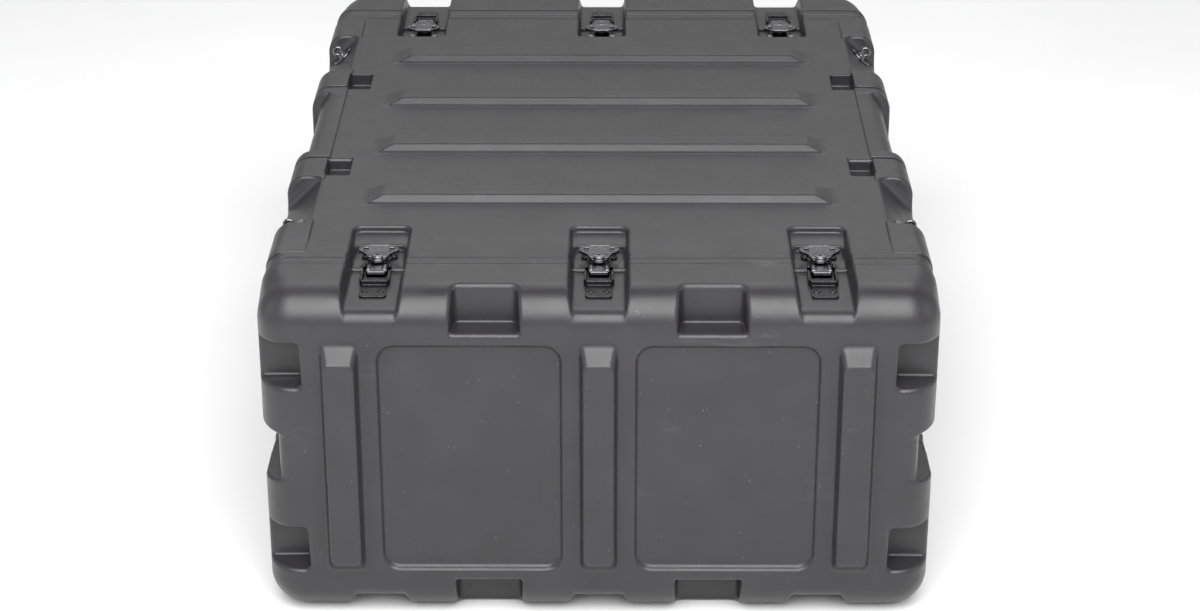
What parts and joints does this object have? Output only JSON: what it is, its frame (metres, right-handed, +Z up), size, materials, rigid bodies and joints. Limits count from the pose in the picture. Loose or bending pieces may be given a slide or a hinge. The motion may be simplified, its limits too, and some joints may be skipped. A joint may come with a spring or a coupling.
{
  "type": "equipment rack case",
  "caption": "Moulded rack case with a shock-mounted 19-inch frame, lift-off lids held by twist latches, ribbed top and side handles.",
  "frame": {"origin": "middle of the footprint, on the floor", "axes": "+X right, front lid faces -Y, +Z up; +Y runs along the case's length"},
  "size_m": [0.622, 0.908, 0.34],
  "materials": {
    "shell": "fine moulded texture",
    "rim": "fine moulded texture",
    "rack_steel": "black powder coat",
    "frame_steel": "black powder coat",
    "rubber": "moulded rubber",
    "gasket": "foam rubber",
    "zinc": "zinc plated",
    "polished_steel": "dark plated, polished high spots",
    "black_steel": "semi-gloss black coat",
    "latch_steel": "semi-gloss black coat, bright edges",
    "handle_black": "black coat with a rubber grip"
  },
  "bodies": {
    "case": {"body_shell": "shell", "front_rim": "rim", "rear_rim": "rim", "front_left_rail": "rack_steel", "front_right_rail": "rack_steel", "rear_left_rail": "rack_steel", "rear_right_rail": "rack_steel", "frame_side_left": "frame_steel", "frame_side_right": "frame_steel", "frame_cross_bars": "frame_steel", "shock_mounts": "rubber", "shock_mount_bolts": "zinc", "latch_bases": "black_steel", "latch_rivets": "zinc", "tie_down_eyes": "polished_steel", "handle_plates": "black_steel", "handle_screws": "zinc"},
    "front_lid": {"front_lid": "shell", "front_gasket": "gasket", "front_keepers": "black_steel"},
    "wing_front_top_left": {"wing_front_top_left": "latch_steel"},
    "claw_front_top_left": {"claw_front_top_left": "latch_steel"},
    "wing_front_top_centre": {"wing_front_top_centre": "latch_steel"},
    "claw_front_top_centre": {"claw_front_top_centre": "latch_steel"},
    "wing_front_top_right": {"wing_front_top_right": "latch_steel"},
    "claw_front_top_right": {"claw_front_top_right": "latch_steel"},
    "wing_front_bottom_left": {"wing_front_bottom_left": "latch_steel"},
    "claw_front_bottom_left": {"claw_front_bottom_left": "latch_steel"},
    "wing_front_bottom_centre": {"wing_front_bottom_centre": "latch_steel"},
    "claw_front_bottom_centre": {"claw_front_bottom_centre": "latch_steel"},
    "wing_front_bottom_right": {"wing_front_bottom_right": "latch_steel"},
    "claw_front_bottom_right": {"claw_front_bottom_right": "latch_steel"},
    "wing_front_side_left": {"wing_front_side_left": "latch_steel"},
    "claw_front_side_left": {"claw_front_side_left": "latch_steel"},
    "wing_front_side_right": {"wing_front_side_right": "latch_steel"},
    "claw_front_side_right": {"claw_front_side_right": "latch_steel"},
    "rear_lid": {"rear_lid": "shell", "rear_gasket": "gasket", "rear_keepers": "black_steel"},
    "wing_rear_top_left": {"wing_rear_top_left": "latch_steel"},
    "claw_rear_top_left": {"claw_rear_top_left": "latch_steel"},
    "wing_rear_top_centre": {"wing_rear_top_centre": "latch_steel"},
    "claw_rear_top_centre": {"claw_rear_top_centre": "latch_steel"},
    "wing_rear_top_right": {"wing_rear_top_right": "latch_steel"},
    "claw_rear_top_right": {"claw_rear_top_right": "latch_steel"},
    "wing_rear_bottom_left": {"wing_rear_bottom_left": "latch_steel"},
    "claw_rear_bottom_left": {"claw_rear_bottom_left": "latch_steel"},
    "wing_rear_bottom_centre": {"wing_rear_bottom_centre": "latch_steel"},
    "claw_rear_bottom_centre": {"claw_rear_bottom_centre": "latch_steel"},
    "wing_rear_bottom_right": {"wing_rear_bottom_right": "latch_steel"},
    "claw_rear_bottom_right": {"claw_rear_bottom_right": "latch_steel"},
    "wing_rear_side_left": {"wing_rear_side_left": "latch_steel"},
    "claw_rear_side_left": {"claw_rear_side_left": "latch_steel"},
    "wing_rear_side_right": {"wing_rear_side_right": "latch_steel"},
    "claw_rear_side_right": {"claw_rear_side_right": "latch_steel"},
    "handle_front_left": {"handle_front_left": "handle_black"},
    "handle_front_right": {"handle_front_right": "handle_black"},
    "handle_rear_left": {"handle_rear_left": "handle_black"},
    "handle_rear_right": {"handle_rear_right": "handle_black"}
  },
  "joints": [
    {"name": "front_lid_off", "type": "slide", "parent": "case", "child": "front_lid", "axis": [0, -1, 0], "range_m": [0, 0.2]},
    {"name": "wing_front_top_left_turn", "type": "hinge", "parent": "case", "child": "wing_front_top_left", "pos_m": [-0.206, -0.334, 0.325], "axis": [0, 0, 1], "range_deg": [0, 180]},
    {"name": "claw_front_top_left_draw", "type": "slide", "parent": "case", "child": "claw_front_top_left", "axis": [0, -1, 0], "range_m": [0, 0.005]},
    {"name": "wing_front_top_centre_turn", "type": "hinge", "parent": "case", "child": "wing_front_top_centre", "pos_m": [0, -0.334, 0.325], "axis": [0, 0, 1], "range_deg": [0, 180]},
    {"name": "claw_front_top_centre_draw", "type": "slide", "parent": "case", "child": "claw_front_top_centre", "axis": [0, -1, 0], "range_m": [0, 0.005]},
    {"name": "wing_front_top_right_turn", "type": "hinge", "parent": "case", "child": "wing_front_top_right", "pos_m": [0.206, -0.334, 0.325], "axis": [0, 0, 1], "range_deg": [0, 180]},
    {"name": "claw_front_top_right_draw", "type": "slide", "parent": "case", "child": "claw_front_top_right", "axis": [0, -1, 0], "range_m": [0, 0.005]},
    {"name": "wing_front_bottom_left_turn", "type": "hinge", "parent": "case", "child": "wing_front_bottom_left", "pos_m": [-0.206, -0.334, 0.01], "axis": [0, 0, -1], "range_deg": [0, 180]},
    {"name": "claw_front_bottom_left_draw", "type": "slide", "parent": "case", "child": "claw_front_bottom_left", "axis": [0, -1, 0], "range_m": [0, 0.005]},
    {"name": "wing_front_bottom_centre_turn", "type": "hinge", "parent": "case", "child": "wing_front_bottom_centre", "pos_m": [0, -0.334, 0.01], "axis": [0, 0, -1], "range_deg": [0, 180]},
    {"name": "claw_front_bottom_centre_draw", "type": "slide", "parent": "case", "child": "claw_front_bottom_centre", "axis": [0, -1, 0], "range_m": [0, 0.005]},
    {"name": "wing_front_bottom_right_turn", "type": "hinge", "parent": "case", "child": "wing_front_bottom_right", "pos_m": [0.206, -0.334, 0.01], "axis": [0, 0, -1], "range_deg": [0, 180]},
    {"name": "claw_front_bottom_right_draw", "type": "slide", "parent": "case", "child": "claw_front_bottom_right", "axis": [0, -1, 0], "range_m": [0, 0.005]},
    {"name": "wing_front_side_left_turn", "type": "hinge", "parent": "case", "child": "wing_front_side_left", "pos_m": [-0.304, -0.334, 0.1675], "axis": [-1, 0, 0], "range_deg": [0, 180]},
    {"name": "claw_front_side_left_draw", "type": "slide", "parent": "case", "child": "claw_front_side_left", "axis": [0, -1, 0], "range_m": [0, 0.005]},
    {"name": "wing_front_side_right_turn", "type": "hinge", "parent": "case", "child": "wing_front_side_right", "pos_m": [0.304, -0.334, 0.1675], "axis": [1, 0, 0], "range_deg": [0, 180]},
    {"name": "claw_front_side_right_draw", "type": "slide", "parent": "case", "child": "claw_front_side_right", "axis": [0, -1, 0], "range_m": [0, 0.005]},
    {"name": "rear_lid_off", "type": "slide", "parent": "case", "child": "rear_lid", "axis": [0, 1, 0], "range_m": [0, 0.2]},
    {"name": "wing_rear_top_left_turn", "type": "hinge", "parent": "case", "child": "wing_rear_top_left", "pos_m": [-0.206, 0.334, 0.325], "axis": [0, 0, 1], "range_deg": [0, 180]},
    {"name": "claw_rear_top_left_draw", "type": "slide", "parent": "case", "child": "claw_rear_top_left", "axis": [0, 1, 0], "range_m": [0, 0.005]},
    {"name": "wing_rear_top_centre_turn", "type": "hinge", "parent": "case", "child": "wing_rear_top_centre", "pos_m": [0, 0.334, 0.325], "axis": [0, 0, 1], "range_deg": [0, 180]},
    {"name": "claw_rear_top_centre_draw", "type": "slide", "parent": "case", "child": "claw_rear_top_centre", "axis": [0, 1, 0], "range_m": [0, 0.005]},
    {"name": "wing_rear_top_right_turn", "type": "hinge", "parent": "case", "child": "wing_rear_top_right", "pos_m": [0.206, 0.334, 0.325], "axis": [0, 0, 1], "range_deg": [0, 180]},
    {"name": "claw_rear_top_right_draw", "type": "slide", "parent": "case", "child": "claw_rear_top_right", "axis": [0, 1, 0], "range_m": [0, 0.005]},
    {"name": "wing_rear_bottom_left_turn", "type": "hinge", "parent": "case", "child": "wing_rear_bottom_left", "pos_m": [-0.206, 0.334, 0.01], "axis": [0, 0, -1], "range_deg": [0, 180]},
    {"name": "claw_rear_bottom_left_draw", "type": "slide", "parent": "case", "child": "claw_rear_bottom_left", "axis": [0, 1, 0], "range_m": [0, 0.005]},
    {"name": "wing_rear_bottom_centre_turn", "type": "hinge", "parent": "case", "child": "wing_rear_bottom_centre", "pos_m": [0, 0.334, 0.01], "axis": [0, 0, -1], "range_deg": [0, 180]},
    {"name": "claw_rear_bottom_centre_draw", "type": "slide", "parent": "case", "child": "claw_rear_bottom_centre", "axis": [0, 1, 0], "range_m": [0, 0.005]},
    {"name": "wing_rear_bottom_right_turn", "type": "hinge", "parent": "case", "child": "wing_rear_bottom_right", "pos_m": [0.206, 0.334, 0.01], "axis": [0, 0, -1], "range_deg": [0, 180]},
    {"name": "claw_rear_bottom_right_draw", "type": "slide", "parent": "case", "child": "claw_rear_bottom_right", "axis": [0, 1, 0], "range_m": [0, 0.005]},
    {"name": "wing_rear_side_left_turn", "type": "hinge", "parent": "case", "child": "wing_rear_side_left", "pos_m": [-0.304, 0.334, 0.1675], "axis": [-1, 0, 0], "range_deg": [0, 180]},
    {"name": "claw_rear_side_left_draw", "type": "slide", "parent": "case", "child": "claw_rear_side_left", "axis": [0, 1, 0], "range_m": [0, 0.005]},
    {"name": "wing_rear_side_right_turn", "type": "hinge", "parent": "case", "child": "wing_rear_side_right", "pos_m": [0.304, 0.334, 0.1675], "axis": [1, 0, 0], "range_deg": [0, 180]},
    {"name": "claw_rear_side_right_draw", "type": "slide", "parent": "case", "child": "claw_rear_side_right", "axis": [0, 1, 0], "range_m": [0, 0.005]},
    {"name": "handle_front_left_swing", "type": "hinge", "parent": "case", "child": "handle_front_left", "pos_m": [-0.296, -0.213, 0.25], "axis": [0, 1, 0], "range_deg": [0, 90]},
    {"name": "handle_front_right_swing", "type": "hinge", "parent": "case", "child": "handle_front_right", "pos_m": [0.296, -0.213, 0.25], "axis": [0, -1, 0], "range_deg": [0, 90]},
    {"name": "handle_rear_left_swing", "type": "hinge", "parent": "case", "child": "handle_rear_left", "pos_m": [-0.296, 0.213, 0.25], "axis": [0, 1, 0], "range_deg": [0, 90]},
    {"name": "handle_rear_right_swing", "type": "hinge", "parent": "case", "child": "handle_rear_right", "pos_m": [0.296, 0.213, 0.25], "axis": [0, -1, 0], "range_deg": [0, 90]}
  ],
  "couplings": [
    {"joint": "claw_front_top_left_draw", "follows": "wing_front_top_left_turn", "m_per_rad": 0.00159},
    {"joint": "claw_front_top_centre_draw", "follows": "wing_front_top_centre_turn", "m_per_rad": 0.00159},
    {"joint": "claw_front_top_right_draw", "follows": "wing_front_top_right_turn", "m_per_rad": 0.00159},
    {"joint": "claw_front_bottom_left_draw", "follows": "wing_front_bottom_left_turn", "m_per_rad": 0.00159},
    {"joint": "claw_front_bottom_centre_draw", "follows": "wing_front_bottom_centre_turn", "m_per_rad": 0.00159},
    {"joint": "claw_front_bottom_right_draw", "follows": "wing_front_bottom_right_turn", "m_per_rad": 0.00159},
    {"joint": "claw_front_side_left_draw", "follows": "wing_front_side_left_turn", "m_per_rad": 0.00159},
    {"joint": "claw_front_side_right_draw", "follows": "wing_front_side_right_turn", "m_per_rad": 0.00159},
    {"joint": "claw_rear_top_left_draw", "follows": "wing_rear_top_left_turn", "m_per_rad": 0.00159},
    {"joint": "claw_rear_top_centre_draw", "follows": "wing_rear_top_centre_turn", "m_per_rad": 0.00159},
    {"joint": "claw_rear_top_right_draw", "follows": "wing_rear_top_right_turn", "m_per_rad": 0.00159},
    {"joint": "claw_rear_bottom_left_draw", "follows": "wing_rear_bottom_left_turn", "m_per_rad": 0.00159},
    {"joint": "claw_rear_bottom_centre_draw", "follows": "wing_rear_bottom_centre_turn", "m_per_rad": 0.00159},
    {"joint": "claw_rear_bottom_right_draw", "follows": "wing_rear_bottom_right_turn", "m_per_rad": 0.00159},
    {"joint": "claw_rear_side_left_draw", "follows": "wing_rear_side_left_turn", "m_per_rad": 0.00159},
    {"joint": "claw_rear_side_right_draw", "follows": "wing_rear_side_right_turn", "m_per_rad": 0.00159}
  ]
}
